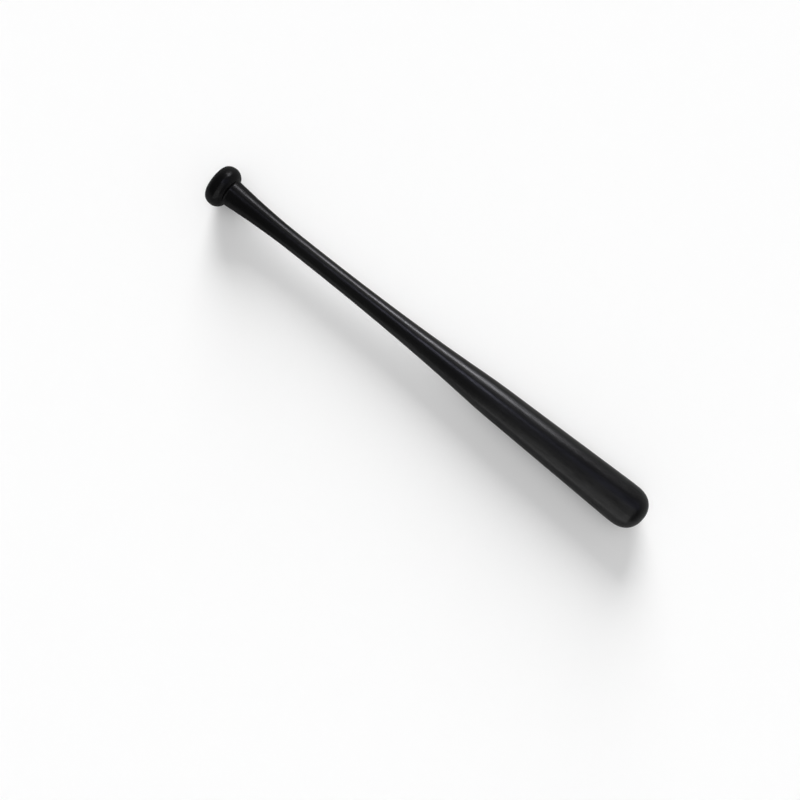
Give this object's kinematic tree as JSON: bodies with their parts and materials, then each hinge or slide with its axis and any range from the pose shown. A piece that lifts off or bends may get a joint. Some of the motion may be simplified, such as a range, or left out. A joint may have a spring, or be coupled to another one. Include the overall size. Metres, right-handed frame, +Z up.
{
  "type": "baseball bat",
  "caption": "Wooden baseball bat, turned in one piece with a round knob, flared handle, long tapered barrel and domed end, in gloss black lacquer.",
  "frame": {"origin": "on the surface the bat lies on, midway along its length and under its axis", "axes": "+X along the bat's axis from the knob to the barrel, +Y across it, +Z up from the surface it lies on"},
  "size_m": [0.711, 0.0584, 0.0583],
  "materials": {
    "bare_wood": "bare end grain, seen only inside the small hook hole in the knob",
    "black_lacquer": "smooth gloss black lacquer film over turned wood"
  },
  "bodies": {
    "root": {"turned_body": "bare_wood", "lacquer_coat": "black_lacquer"}
  },
  "joints": []
}
